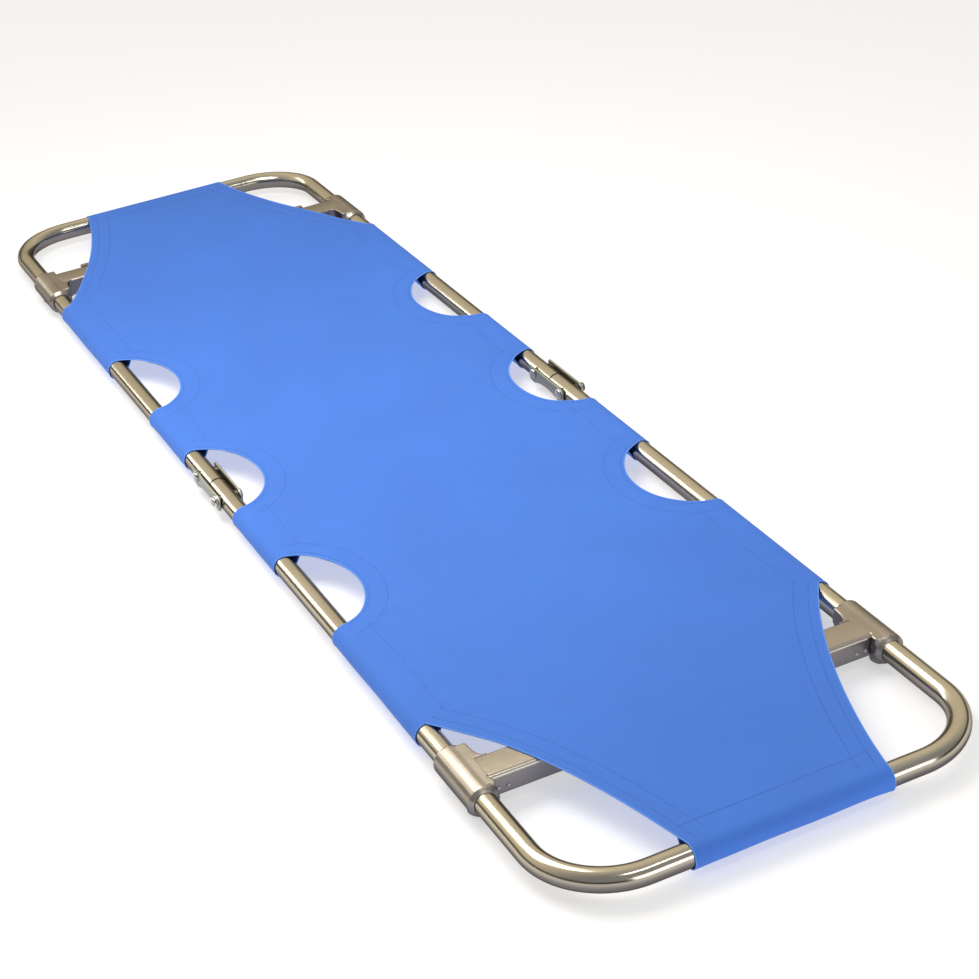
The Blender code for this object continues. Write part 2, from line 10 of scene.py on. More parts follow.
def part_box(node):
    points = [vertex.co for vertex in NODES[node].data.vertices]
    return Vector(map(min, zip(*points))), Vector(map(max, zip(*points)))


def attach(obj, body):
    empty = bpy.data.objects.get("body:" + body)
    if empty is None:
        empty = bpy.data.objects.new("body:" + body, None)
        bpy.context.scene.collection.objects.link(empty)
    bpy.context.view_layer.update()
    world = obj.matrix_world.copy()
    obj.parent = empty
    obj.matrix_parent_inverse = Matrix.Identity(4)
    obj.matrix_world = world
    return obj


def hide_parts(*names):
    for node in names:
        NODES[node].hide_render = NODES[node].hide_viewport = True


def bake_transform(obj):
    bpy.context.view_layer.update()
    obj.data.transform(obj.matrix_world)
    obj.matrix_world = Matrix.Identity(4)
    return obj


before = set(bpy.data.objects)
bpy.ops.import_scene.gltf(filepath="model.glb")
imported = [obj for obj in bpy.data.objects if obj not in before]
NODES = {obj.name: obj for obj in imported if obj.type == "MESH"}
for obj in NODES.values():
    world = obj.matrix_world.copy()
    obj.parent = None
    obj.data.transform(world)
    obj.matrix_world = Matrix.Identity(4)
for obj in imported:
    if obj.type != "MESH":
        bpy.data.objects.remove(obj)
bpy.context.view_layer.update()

SIDES = {-1: "left", 1: "right"}
ENDS = {-1: "near", 1: "far"}

# The frame's places, read from the CAD
TUBE_LOW, TUBE_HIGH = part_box("far_frame_tube")
TUBE_RADIUS = (TUBE_HIGH.z - TUBE_LOW.z) / 2
AXIS = (TUBE_HIGH.z + TUBE_LOW.z) / 2
RAIL_X = TUBE_HIGH.x - TUBE_RADIUS
RAIL_Y = TUBE_HIGH.y - TUBE_RADIUS
SEAM = TUBE_LOW.y
PIN_LOW, PIN_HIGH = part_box("far_hinge_pin_left")
PIN_Y = (PIN_LOW.y + PIN_HIGH.y) / 2
PIN_Z = (PIN_LOW.z + PIN_HIGH.z) / 2
PLATE_LOW, PLATE_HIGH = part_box("hinge_plate_outer_right")
CORNER_RADIUS = 0.093
TUBE_WALL = 0.0015

# The cloth's cut, in metres
CUTOUT_YS = (0.0, 0.345)
CUTOUT_X = 0.272
CUTOUT_HALF = 0.098
CUTOUT_DEPTH = 0.072
CORNER_Y = 0.684
CORNER_BEND = (0.164, 0.823)
END_HALF = 0.122
CLOTH = 0.0010
SLEEVE_RADIUS = TUBE_RADIUS + 0.0005 + CLOTH / 2
LAYER = 0.0012
TUCK = 0.024
SEAM_ALLOWANCE = 0.013
SAG = 0.007

BAR_LOW, BAR_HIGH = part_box("far_crossbar")
BAR_RISE = BAR_HIGH.z + CLOTH / 2 + 0.0003 - AXIS - SLEEVE_RADIUS


# Shapes --------------------------------------------------------------------

def link(name, data):
    obj = bpy.data.objects.new(name, data)
    bpy.context.scene.collection.objects.link(obj)
    return obj


def baked(obj):
    """Replaces an object by the mesh that its modifiers or its curve show."""
    bpy.context.view_layer.update()
    shown = obj.evaluated_get(bpy.context.evaluated_depsgraph_get())
    mesh = bpy.data.meshes.new_from_object(shown)
    name, matrix = obj.name, obj.matrix_world.copy()
    mesh.transform(matrix)
    bpy.data.objects.remove(obj, do_unlink=True)
    made = link(name, mesh)
    made.name = name
    return made


def welded(obj, distance=0.00001):
    work = bmesh.new()
    work.from_mesh(obj.data)
    bmesh.ops.remove_doubles(work, verts=work.verts, dist=distance)
    bmesh.ops.recalc_face_normals(work, faces=work.faces)
    work.to_mesh(obj.data)
    work.free()
    return obj


def smooth(obj, angle=35):
    """Smooth shading that keeps edges sharper than the angle."""
    for face in obj.data.polygons:
        face.use_smooth = True
    obj.data.set_sharp_from_angle(angle=math.radians(angle))
    return obj


def dress(obj, material):
    obj.data.materials.clear()
    obj.data.materials.append(material)
    return obj


def arc(centre, radius, start, stop, count):
    angles = [math.radians(start + (stop - start) * i / count) for i in range(count + 1)]
    return [(centre[0] + radius * math.cos(a), centre[1] + radius * math.sin(a)) for a in angles]


def bezier(start, bend, stop, count):
    points = []
    for i in range(count + 1):
        t = i / count
        a, b, c = (1 - t) ** 2, 2 * t * (1 - t), t * t
        points.append(tuple(a * p + b * q + c * r for p, q, r in zip(start, bend, stop)))
    return points


def sweep(name, points, radius, resolution, caps=True):
    """A round tube along points in space."""
    curve = bpy.data.curves.new(name, "CURVE")
    curve.dimensions = "3D"
    curve.bevel_depth = radius
    curve.bevel_resolution = resolution
    curve.use_fill_caps = caps
    spline = curve.splines.new("POLY")
    spline.points.add(len(points) - 1)
    for point, place in zip(spline.points, points):
        point.co = (*place, 1)
    return welded(baked(link(name, curve)))


def turned(name, profile, matrix, steps=48):
    """A turned shape from (radius, height) points that run down its outer side."""
    mesh = bpy.data.meshes.new(name)
    edges = [(i, i + 1) for i in range(len(profile) - 1)]
    mesh.from_pydata([(radius, 0, height) for radius, height in profile], edges, [])
    obj = link(name, mesh)
    obj.matrix_world = matrix
    screw = obj.modifiers.new("turn", "SCREW")
    screw.steps = screw.render_steps = steps
    screw.use_merge_vertices = True
    screw.merge_threshold = 0.00001
    return welded(baked(obj))


def plate(name, loops, thickness, matrix, edge):
    """A flat plate with holes and rounded edges."""
    curve = bpy.data.curves.new(name, "CURVE")
    curve.dimensions = "2D"
    curve.fill_mode = "BOTH"
    curve.extrude = thickness / 2 - edge
    curve.bevel_depth = edge
    curve.bevel_resolution = 2
    curve.offset = -edge
    for loop in loops:
        spline = curve.splines.new("POLY")
        spline.points.add(len(loop) - 1)
        for point, (u, v) in zip(spline.points, loop):
            point.co = (u, v, 0, 1)
        spline.use_cyclic_u = True
    obj = link(name, curve)
    obj.matrix_world = matrix
    return welded(baked(obj))


def along_x(x, y, z, side):
    return Matrix.Translation((x, y, z)) @ Matrix.Rotation(side * math.pi / 2, 4, "Y")


# Materials -----------------------------------------------------------------

EDGE_TINT = (0.38, 0.36, 0.36, 1.0)
# The upward part of a face's direction where it stops getting the painted shade of a side: facing
# up, facing down
UNSHADED_SLOPES = ((-0.10, 0.60), (-0.86, -1.0))


class Paint:
    """A node material with short calls for the nodes that it uses."""

    def __init__(self, name, colour, metallic, roughness):
        self.material = bpy.data.materials.new(name)
        self.material.use_nodes = True
        self.tree = self.material.node_tree
        self.shader = self.tree.nodes["Principled BSDF"]
        self.shader.inputs["Base Color"].default_value = (*colour, 1)
        self.shader.inputs["Metallic"].default_value = metallic
        self.shader.inputs["Roughness"].default_value = roughness
        self.place = self.tree.nodes.new("ShaderNodeTexCoord").outputs["Object"]

    def node(self, kind, **settings):
        made = self.tree.nodes.new("ShaderNode" + kind)
        for key, value in settings.items():
            setattr(made, key, value)
        return made

    def join(self, source, target):
        self.tree.links.new(source, target)

    def stretched(self, scale):
        mapping = self.node("Mapping")
        mapping.inputs["Scale"].default_value = scale
        self.join(self.place, mapping.inputs["Vector"])
        return mapping.outputs["Vector"]

    def noise(self, scale, detail=3.0, stretch=None):
        made = self.node("TexNoise")
        made.inputs["Scale"].default_value = scale
        made.inputs["Detail"].default_value = detail
        made.inputs["Roughness"].default_value = 0.55
        source = self.stretched(stretch) if stretch else self.place
        self.join(source, made.inputs["Vector"])
        return made.outputs["Fac"]

    def wave(self, scale, direction):
        made = self.node("TexWave", wave_type="BANDS", bands_direction=direction)
        made.inputs["Scale"].default_value = scale
        made.inputs["Distortion"].default_value = 0.0
        self.join(self.place, made.inputs["Vector"])
        return made.outputs["Fac"]

    def spread(self, value, low, high):
        """Maps the middle of a 0..1 value to low..high."""
        made = self.node("MapRange")
        for key, number in zip(("From Min", "From Max", "To Min", "To Max"), (0.3, 0.7, low, high)):
            made.inputs[key].default_value = number
        self.join(value, made.inputs["Value"])
        return made.outputs["Result"]

    def sum(self, a, b, operation="ADD"):
        made = self.node("Math", operation=operation)
        self.join(a, made.inputs[0])
        self.join(b, made.inputs[1])
        return made.outputs[0]

    def blend(self, factor, first, second):
        made = self.node("Mix", data_type="RGBA")
        self.join(factor, made.inputs["Factor"])
        made.inputs["A"].default_value = (*first, 1)
        made.inputs["B"].default_value = (*second, 1)
        return made.outputs["Result"]

    def colour(self, factor, first, second, painted_shade=None):
        """Mottled colour; the optional duller colour is painted shade on faces that stand upright
        or lean down, for the shade and dark reflections on a part's sides.
        """
        mixed = self.blend(factor, first, second)
        if painted_shade:
            split = self.node("SeparateXYZ")
            self.join(self.tree.nodes["Texture Coordinate"].outputs["Normal"], split.inputs[0])
            unshaded = [self.slope(split.outputs["Z"], low, high) for low, high in UNSHADED_SLOPES]
            factor = self.sum(*unshaded, "MAXIMUM")
            # Painted shade: sides and downward-leaning faces get the dark colour, faces facing up
            # or straight down keep the mottled one
            both = self.node("Mix", data_type="RGBA")
            both.inputs["A"].default_value = (*painted_shade, 1)
            self.join(mixed, both.inputs["B"])
            self.join(factor, both.inputs["Factor"])
            mixed = both.outputs["Result"]
        self.join(mixed, self.shader.inputs["Base Color"])

    def slope(self, value, low, high):
        """Rises smoothly from 0 at low to 1 at high."""
        made = self.node("MapRange", interpolation_type="SMOOTHSTEP")
        made.inputs["From Min"].default_value = low
        made.inputs["From Max"].default_value = high
        self.join(value, made.inputs["Value"])
        return made.outputs["Result"]

    def roughness(self, value):
        self.join(value, self.shader.inputs["Roughness"])

    def bump(self, height, distance, strength=1.0):
        made = self.node("Bump")
        made.inputs["Distance"].default_value = distance
        made.inputs["Strength"].default_value = strength
        self.join(height, made.inputs["Height"])
        old = self.shader.inputs["Normal"].links
        if old:
            self.join(old[0].from_socket, made.inputs["Normal"])
        self.join(made.outputs["Normal"], self.shader.inputs["Normal"])


def tube_paint():
    paint = Paint("polished_tube", (0.63, 0.575, 0.46), 1.0, 0.18)
    paint.shader.inputs["Specular Tint"].default_value = EDGE_TINT
    handling = paint.noise(9, 4)
    fine = paint.noise(900, 2, (1, 0.04, 1))
    shades = (0.56, 0.505, 0.39), (0.62, 0.565, 0.45)
    # The cheeks colour is painted shade: a dark band on the tube's sides and lower flanks for the
    # shade and dark reflections there
    paint.colour(paint.spread(handling, 0, 1), *shades, painted_shade=(0.20, 0.185, 0.18))
    paint.roughness(paint.sum(paint.spread(handling, 0.16, 0.20), paint.spread(fine, 0, 0.01)))
    return paint.material


def cast_paint():
    paint = Paint("satin_casting", (0.72, 0.67, 0.58), 1.0, 0.34)
    paint.shader.inputs["Specular Tint"].default_value = EDGE_TINT
    skin = paint.noise(520, 4)
    patches = paint.noise(30, 3)
    shades = (0.43, 0.385, 0.325), (0.48, 0.43, 0.365)
    # The cheeks colour is painted shade on the casting's sides and lower faces
    paint.colour(paint.spread(patches, 0, 1), *shades, painted_shade=(0.19, 0.18, 0.19))
    paint.roughness(paint.sum(paint.spread(patches, 0.27, 0.34), paint.spread(skin, 0, 0.06)))
    paint.bump(skin, 0.00006)
    paint.bump(patches, 0.0003)
    return paint.material


def bar_paint():
    paint = Paint("satin_crossbar", (0.72, 0.67, 0.57), 1.0, 0.30)
    paint.shader.inputs["Specular Tint"].default_value = EDGE_TINT
    drawn = paint.noise(700, 3, (0.02, 1, 1))
    patches = paint.noise(14, 3)
    shades = (0.46, 0.415, 0.345), (0.51, 0.46, 0.385)
    # The cheeks colour is painted shade on the crossbar's upright and lower faces
    paint.colour(paint.spread(patches, 0, 1), *shades, painted_shade=(0.19, 0.18, 0.195))
    paint.roughness(paint.sum(paint.spread(patches, 0.24, 0.32), paint.spread(drawn, 0, 0.08)))
    paint.bump(drawn, 0.00002)
    return paint.material


def zinc_paint():
    paint = Paint("zinc_plate", (0.56, 0.57, 0.47), 1.0, 0.24)
    tarnish = paint.noise(60, 4)
    rolled = paint.noise(800, 2, (1, 0.05, 1))
    shades = (0.40, 0.43, 0.38), (0.54, 0.54, 0.43)
    # The cheeks colour is painted shade on the plates' upright and lower faces
    paint.colour(paint.spread(tarnish, 0, 1), *shades, painted_shade=(0.20, 0.21, 0.20))
    paint.roughness(paint.sum(paint.spread(tarnish, 0.30, 0.40), paint.spread(rolled, 0, 0.05)))
    paint.bump(rolled, 0.00003)
    return paint.material


def bright_paint():
    paint = Paint("bright_steel", (0.80, 0.80, 0.78), 1.0, 0.12)
    spots = paint.noise(240, 3)
    shades = (0.64, 0.64, 0.62), (0.76, 0.76, 0.74)
    # The cheeks colour is painted shade on the sides and lower faces of pins, rivets and springs
    paint.colour(paint.spread(spots, 0, 1), *shades, painted_shade=(0.30, 0.30, 0.31))
    paint.roughness(paint.spread(spots, 0.08, 0.17))
    paint.bump(spots, 0.00002)
    return paint.material


def bronze_paint():
    paint = Paint("sintered_bronze", (0.20, 0.16, 0.11), 1.0, 0.45)
    pores = paint.noise(900, 3)
    paint.colour(paint.spread(pores, 0, 1), (0.10, 0.095, 0.080), (0.16, 0.145, 0.12))
    paint.roughness(paint.spread(pores, 0.32, 0.48))
    paint.bump(pores, 0.00006)
    return paint.material


def rubber_paint():
    paint = Paint("foot_rubber", (0.05, 0.05, 0.05), 0.0, 0.75)
    grain = paint.noise(700, 3)
    paint.colour(paint.spread(grain, 0, 1), (0.040, 0.040, 0.042), (0.075, 0.075, 0.078))
    paint.roughness(paint.spread(grain, 0.65, 0.85))
    paint.bump(grain, 0.00010)
    return paint.material


WEAVE_PITCH = 0.00085
WAVES_PER_METRE = 1 / WEAVE_PITCH / (20 / (2 * math.pi))


def cloth_paint(name, first, second):
    """Coated oxford cloth: a fine basket weave, slubs and a soft sheen."""
    paint = Paint(name, first, 0.0, 0.8)
    across = paint.wave(WAVES_PER_METRE, "X")
    along = paint.wave(WAVES_PER_METRE, "Y")
    weave = paint.sum(across, along, "MULTIPLY")
    slub = paint.noise(420, 3, (1, 0.12, 1))
    cloudy = paint.noise(7, 4)
    mixed = paint.sum(paint.spread(cloudy, 0, 0.7), paint.spread(slub, 0, 0.3))
    paint.colour(mixed, first, second)
    paint.roughness(paint.spread(cloudy, 0.70, 0.82))
    paint.shader.inputs["Specular IOR Level"].default_value = 0.30
    paint.bump(weave, 0.00012)
    paint.bump(slub, 0.00010)
    paint.bump(paint.noise(38, 3), 0.0009, 0.35)
    paint.shader.inputs["Sheen Weight"].default_value = 0.04
    paint.shader.inputs["Sheen Roughness"].default_value = 0.4
    paint.shader.inputs["Sheen Tint"].default_value = (0.45, 0.65, 1.0, 1)
    return paint.material


def thread_paint():
    paint = Paint("blue_thread", (0.034, 0.105, 0.40), 0.0, 0.55)
    twist = paint.noise(1500, 2)
    paint.colour(paint.spread(twist, 0, 1), (0.028, 0.088, 0.34), (0.042, 0.125, 0.46))
    paint.bump(twist, 0.00008)
    return paint.material


# Cloth ---------------------------------------------------------------------

def smoothstep(value, low, high):
    t = np.clip((value - low) / (high - low), 0, 1)
    return t * t * (3 - 2 * t)


SLEEVES = ((CUTOUT_HALF, CUTOUT_YS[1] - CUTOUT_HALF), (CUTOUT_YS[1] + CUTOUT_HALF, CORNER_Y))


def sleeve_flare(b):
    """How near a place along the rail is to a sleeve's mouth, 1 at the mouth."""
    nearest = np.full_like(b, 1.0)
    for low, high in SLEEVES:
        for mouth in (low, high):
            nearest = np.minimum(nearest, np.abs(b - mouth))
    return np.exp(-(nearest / 0.016) ** 2)


def pull_folds(x, y):
    """Low ridges that fan out from the sleeves' ends, where the cloth is pulled."""
    total = np.zeros_like(x)
    starts = [mouth for sleeve in SLEEVES for mouth in sleeve]
    for number, start in enumerate(starts):
        for side in (-1, 1):
            for end in (-1, 1):
                dx = side * RAIL_X - x
                dy = y - end * start
                reach = np.hypot(dx, dy) + 0.001
                turn = np.arctan2(dy, side * dx)
                phase = number * 1.7 + side + 2.3 * end
                ridge = np.sin(9 * turn + phase) * np.exp(-reach / 0.085)
                total += ridge * smoothstep(reach, 0.004, 0.05) * smoothstep(side * dx, 0.0, 0.03)
    return total


def bed_height(x, y):
    """The height of the cloth's middle surface between the rails."""
    b = np.abs(y)
    hang = np.clip(1 - (x / RAIL_X) ** 2, 0, 1)
    over_bar = np.interp(b, (0.62, BAR_LOW.y, BAR_HIGH.y, 0.985), (0, 1, 1, 0))
    over_bar *= np.clip((RAIL_X - np.abs(x)) / 0.045, 0, 1)
    between = 1 - smoothstep(b, 0.30, BAR_LOW.y - 0.015)
    slow = np.sin(7.3 * y + 2.1 * x + 0.4) * np.sin(9.1 * x - 1.7 * y) * 0.0010
    soft = hang * (1 - smoothstep(b, BAR_LOW.y - 0.08, BAR_LOW.y - 0.012))
    folds = pull_folds(x, y) * 0.0011 * np.clip((RAIL_X - np.abs(x)) / 0.03, 0, 1)
    folds *= 1 - smoothstep(b, BAR_LOW.y - 0.03, BAR_LOW.y - 0.01) * 0.9
    return AXIS + SLEEVE_RADIUS + BAR_RISE * over_bar - SAG * hang * between + slow * soft + folds


def wrap(length, radius):
    """(outwards, up) from a tube's axis for cloth this far past the tube's crown."""
    drop = radius - LAYER
    far = math.hypot(TUCK, float(np.min(drop)))
    nominal = float(np.mean(radius))
    tangent = math.atan2(nominal - LAYER, -TUCK) + math.acos(min(1.0, nominal / far))
    turned_by = math.pi / 2 + 2 * math.pi - tangent
    straight = math.sqrt(far * far - nominal * nominal)
    angle = np.clip(length / nominal, 0, turned_by)
    out, up = radius * np.sin(angle), radius * np.cos(angle)
    leave = np.clip(length - nominal * turned_by, 0, straight) / straight
    flat = np.clip(length - nominal * turned_by - straight, 0, None)
    out = out + (-TUCK - out) * leave - flat
    up = up + (nominal - LAYER - up) * leave
    return out, up


def wrap_length():
    far = math.hypot(TUCK, SLEEVE_RADIUS - LAYER)
    tangent = math.atan2(SLEEVE_RADIUS - LAYER, -TUCK) + math.acos(SLEEVE_RADIUS / far)
    turned_by = math.pi / 2 + 2 * math.pi - tangent
    return SLEEVE_RADIUS * turned_by + math.sqrt(far * far - SLEEVE_RADIUS ** 2) + SEAM_ALLOWANCE


U_END = RAIL_X + wrap_length()
V_END = RAIL_Y + wrap_length()


def surface(u, v):
    """Where a point of the flat cloth lies: u across it, v along it, both from its middle."""
    side, end = np.where(u < 0, -1.0, 1.0), np.where(v < 0, -1.0, 1.0)
    a, b = np.abs(u), np.abs(v)
    x, y = side * np.minimum(a, RAIL_X), end * np.minimum(b, RAIL_Y)
    z = bed_height(x, y)
    flare = sleeve_flare(np.minimum(b, RAIL_Y))
    past = np.clip(a - RAIL_X, 0, None)
    below = np.sin(math.pi * np.clip((past / SLEEVE_RADIUS - 1.2) / 3.5, 0, 1)) ** 2
    loose = SLEEVE_RADIUS + below * (0.0004 * flare + 0.0004 * (1 + np.sin(41 * v + 3 * side)))
    out, up = wrap(past, loose)
    on_side = a > RAIL_X
    inner = np.abs(RAIL_X + out)
    under_bed = on_side & (out < -0.004) & (up > 0)
    x = np.where(on_side, side * (RAIL_X + out), x)
    sewn = bed_height(side * np.minimum(inner, RAIL_X), y) - SLEEVE_RADIUS - AXIS
    z = np.where(on_side, AXIS + up + np.where(under_bed, sewn, 0) * np.clip(-out / TUCK, 0, 1), z)
    past = np.clip(b - RAIL_Y, 0, None)
    below = np.sin(math.pi * np.clip((past / SLEEVE_RADIUS - 1.2) / 3.5, 0, 1)) ** 2
    mouth = np.exp(-((END_HALF - a) / 0.014) ** 2)
    loose = SLEEVE_RADIUS + below * (0.0010 * mouth + 0.0004 * (1 + np.sin(55 * u)))
    out, up = wrap(past, loose)
    on_end = b > RAIL_Y
    y = np.where(on_end, end * (RAIL_Y + out), y)
    z = np.where(on_end, AXIS + up, z)
    return np.stack([x, y, z], -1)


def normals(u, v, step=0.0004):
    across = surface(u + step, v) - surface(u - step, v)
    along = surface(u, v + step) - surface(u, v - step)
    found = np.cross(across, along)
    return found / np.maximum(np.linalg.norm(found, axis=-1, keepdims=True), 1e-12)


def cutout_distance(a, b, centre):
    """Distance outside a hand hole, negative inside it. The hole runs on over the rail."""
    across, along = np.minimum(a - CUTOUT_X, 0), b - centre
    k1 = np.hypot(across / CUTOUT_DEPTH, along / CUTOUT_HALF)
    k2 = np.hypot(across / CUTOUT_DEPTH ** 2, along / CUTOUT_HALF ** 2) + 1e-9
    return k1 * (k1 - 1) / k2


CORNER_EDGE = np.array(
    [(U_END + 0.01, CORNER_Y), (RAIL_X + 0.004, CORNER_Y)]
    + bezier((RAIL_X, CORNER_Y), CORNER_BEND, (END_HALF, RAIL_Y), 40)
    + [(END_HALF, RAIL_Y + 0.004), (END_HALF, V_END + 0.01)]
)


def corner_distance(a, b):
    """Distance inside the cut-off corner's edge, negative on the cloth."""
    start, stop = CORNER_EDGE[:-1], CORNER_EDGE[1:]
    run = stop - start
    points = np.stack([a, b], -1)[..., None, :]
    t = ((points - start) * run).sum(-1) / (run ** 2).sum(-1)
    nearest = start + np.clip(t, 0, 1)[..., None] * run
    gap = np.linalg.norm(points - nearest, axis=-1).min(-1)
    edge = np.interp(b, CORNER_EDGE[1:-1, 1], CORNER_EDGE[1:-1, 0])
    cut = (b > CORNER_Y) & (a > edge)
    return np.where(cut, gap, -gap)


def cloth_distance(u, v):
    """Negative on the cloth, positive off it."""
    a, b = np.abs(u), np.abs(v)
    found = np.maximum(corner_distance(a, b), np.maximum(a - U_END, b - V_END))
    for centre in CUTOUT_YS:
        found = np.maximum(found, -cutout_distance(a, b, centre))
    return found


FACING = 0.031


def facing_distance(u, v):
    """The second layer that is sewn under the cloth round each hand hole."""
    a, b = np.abs(u), np.abs(v)
    nearest = np.minimum(cutout_distance(a, b, CUTOUT_YS[0]), cutout_distance(a, b, CUTOUT_YS[1]))
    band = np.maximum(nearest - FACING, -nearest)
    limit = a - (RAIL_X - TUCK - SEAM_ALLOWANCE - 0.002)
    return np.maximum(band, np.maximum(limit, corner_distance(a, b)))


def grid_lines(stops, steps):
    lines = []
    for low, high, step in zip(stops, stops[1:], steps):
        lines.append(np.linspace(low, high, max(2, round((high - low) / step) + 1)))
    return np.unique(np.concatenate(lines).round(7))


def cloth_sheet(name, distance, us, vs, lift, thickness):
    """A sheet over the grid where distance is negative, with its edge drawn onto distance 0."""
    u, v = np.meshgrid(us, vs, indexing="ij")
    d = distance(u, v)
    inside = d < -1e-6
    cells = inside[:-1, :-1] | inside[1:, :-1] | inside[:-1, 1:] | inside[1:, 1:]
    step = 0.0005
    low_u, high_u, low_v, high_v = us[0], us[-1], vs[0], vs[-1]
    for _ in range(6):
        d = distance(u, v)
        gu = (distance(u + step, v) - distance(u - step, v)) / (2 * step)
        gv = (distance(u, v + step) - distance(u, v - step)) / (2 * step)
        size = np.maximum(gu * gu + gv * gv, 0.25)
        off = np.where(inside, 0, np.clip(d, 0, 0.02)) / size
        u, v = np.clip(u - off * gu, low_u, high_u), np.clip(v - off * gv, low_v, high_v)
    points = (surface(u, v) + lift * normals(u, v)).reshape(-1, 3)
    count = len(vs)
    faces = []
    for i, j in np.argwhere(cells):
        first = int(i * count + j)
        faces.append((first, first + count, first + count + 1, first + 1))
    mesh = bpy.data.meshes.new(name)
    mesh.from_pydata(points.tolist(), [], faces)
    obj = link(name, mesh)
    work = bmesh.new()
    work.from_mesh(mesh)
    loose = [vert for vert in work.verts if not vert.link_faces]
    bmesh.ops.delete(work, geom=loose, context="VERTS")
    bmesh.ops.remove_doubles(work, verts=work.verts, dist=0.0006)
    bmesh.ops.dissolve_degenerate(work, edges=work.edges, dist=0.0001)
    area = sum(face.calc_area() for face in work.faces)
    work.to_mesh(mesh)
    work.free()
    solid = obj.modifiers.new("cloth", "SOLIDIFY")
    solid.thickness = thickness
    solid.offset = 0
    return smooth(baked(obj), 60), area


def edge_paths(end):
    """The cloth's cut edges as (u, v) lines, for the turned hem."""
    paths = []
    for side in (-1, 1):
        for centre in CUTOUT_YS:
            first = 0 if centre == 0 else -90
            bow = [
                (CUTOUT_X - CUTOUT_DEPTH * math.cos(a), centre + CUTOUT_HALF * math.sin(a))
                for a in (math.radians(first + (90 - first) * i / 40) for i in range(41))
            ]
            tail = [(u, centre + CUTOUT_HALF) for u in np.linspace(CUTOUT_X, U_END - 0.001, 26)[1:]]
            head = [] if centre == 0 else [(u, centre - CUTOUT_HALF) for u, _ in reversed(tail)]
            paths.append([(side * u, end * v) for u, v in head + bow + tail])
        corner = [(u, CORNER_Y) for u in np.linspace(U_END - 0.001, RAIL_X + 0.002, 26)]
        corner += bezier((RAIL_X, CORNER_Y), CORNER_BEND, (END_HALF, RAIL_Y), 40)
        corner += [(END_HALF, v) for v in np.linspace(RAIL_Y + 0.002, V_END - 0.001, 26)]
        paths.append([(side * u, end * v) for u, v in corner])
    return paths


def shifted(path, offset):
    """A flat path moved sideways by an offset."""
    points = np.array(path)
    run = np.gradient(points, axis=0)
    run /= np.linalg.norm(run, axis=1, keepdims=True)
    return points + offset * np.stack([-run[:, 1], run[:, 0]], -1)


def stitch_paths(end):
    """Rows of stitching as (u, v) lines."""
    rows = []
    for side in (-1, 1):
        for centre in CUTOUT_YS:
            for offset in (0.0045, 0.028):
                first = 0 if centre == 0 else -84
                bow = [
                    (
                        CUTOUT_X - (CUTOUT_DEPTH + offset) * math.cos(a),
                        centre + (CUTOUT_HALF + offset) * math.sin(a),
                    )
                    for a in (math.radians(first + (84 - first) * i / 60) for i in range(61))
                ]
                rows.append([(side * u, end * v) for u, v in bow if u < RAIL_X - 0.001])
        corner = bezier((RAIL_X, CORNER_Y), CORNER_BEND, (END_HALF, RAIL_Y), 60)
        for offset in (0.012, 0.030):
            moved = shifted(corner, offset)
            rows.append([(side * u, end * v) for u, v in moved if v < RAIL_Y and u < RAIL_X])
        for low, high in SLEEVES:
            line = np.linspace(low + 0.006, high - 0.014, 30)
            rows.append([(side * (RAIL_X - TUCK - 0.006), end * v) for v in line])
    wide = END_HALF - 0.002
    rows.append([(u, end * (RAIL_Y - TUCK - 0.006)) for u in np.linspace(-wide, wide, 30)])
    return rows


STITCH_PITCH = 0.0046
STITCH_LENGTH = 0.0033
STITCH_RADIUS = 0.00042
STITCH_LIFT = 0.0001


def stitches(name, rows):
    """Short raised thread stitches along flat lines, on the cloth's upper side."""
    points, faces = [], []
    for row in rows:
        line = np.array(row)
        steps = np.linalg.norm(np.diff(line, axis=0), axis=1)
        along = np.concatenate([[0], np.cumsum(steps)])
        starts = np.arange(0.001, along[-1] - STITCH_LENGTH, STITCH_PITCH)
        stations = starts[:, None] + STITCH_LENGTH * np.array([0, 0.2, 0.8, 1.0])
        u, v = np.interp(stations, along, line[:, 0]), np.interp(stations, along, line[:, 1])
        up = normals(u, v)
        lift = CLOTH / 2 + STITCH_LIFT * np.array([-1, 1, 1, -1])[None, :, None]
        centre = surface(u, v) + up * lift
        run = centre[:, -1] - centre[:, 0]
        run /= np.linalg.norm(run, axis=1, keepdims=True)
        aside = np.cross(run[:, None], up)
        for c, a, n in zip(centre, aside, up):
            first = len(points)
            points.append(c[0])
            for k in (1, 2):
                for s, t in ((1, 0), (0, 1), (-1, 0), (0, -1)):
                    points.append(c[k] + STITCH_RADIUS * (s * a[k] + t * n[k]))
            points.append(c[3])
            for k in range(4):
                m = (k + 1) % 4
                faces.append((first, first + 1 + m, first + 1 + k))
                faces.append((first + 1 + k, first + 1 + m, first + 5 + m, first + 5 + k))
                faces.append((first + 5 + k, first + 5 + m, first + 9))
    mesh = bpy.data.meshes.new(name)
    mesh.from_pydata([tuple(p) for p in points], [], faces)
    return smooth(welded(link(name, mesh), 1e-7), 80)


HEM_RADIUS = 0.00085


def hems(name, paths):
    """The turned edge of the cloth: a thin rolled bead along each cut."""
    beads = []
    for number, path in enumerate(paths):
        line = np.array(path)
        places = surface(line[:, 0], line[:, 1])
        beads.append(sweep(f"{name}_{number}", [tuple(p) for p in places], HEM_RADIUS, 3))
    work = bmesh.new()
    for bead in beads:
        work.from_mesh(bead.data)
        bpy.data.objects.remove(bead, do_unlink=True)
    mesh = bpy.data.meshes.new(name)
    work.to_mesh(mesh)
    work.free()
    return smooth(link(name, mesh), 80)


def bend_with_frame(obj, end):
    """Bakes the cloth piece's placement into its mesh, for either end alike."""
    if end < 0:
        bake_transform(obj)
    else:
        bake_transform(obj)


COARSE, FINE, FINE_REACH = 0.006, 0.003, 0.05


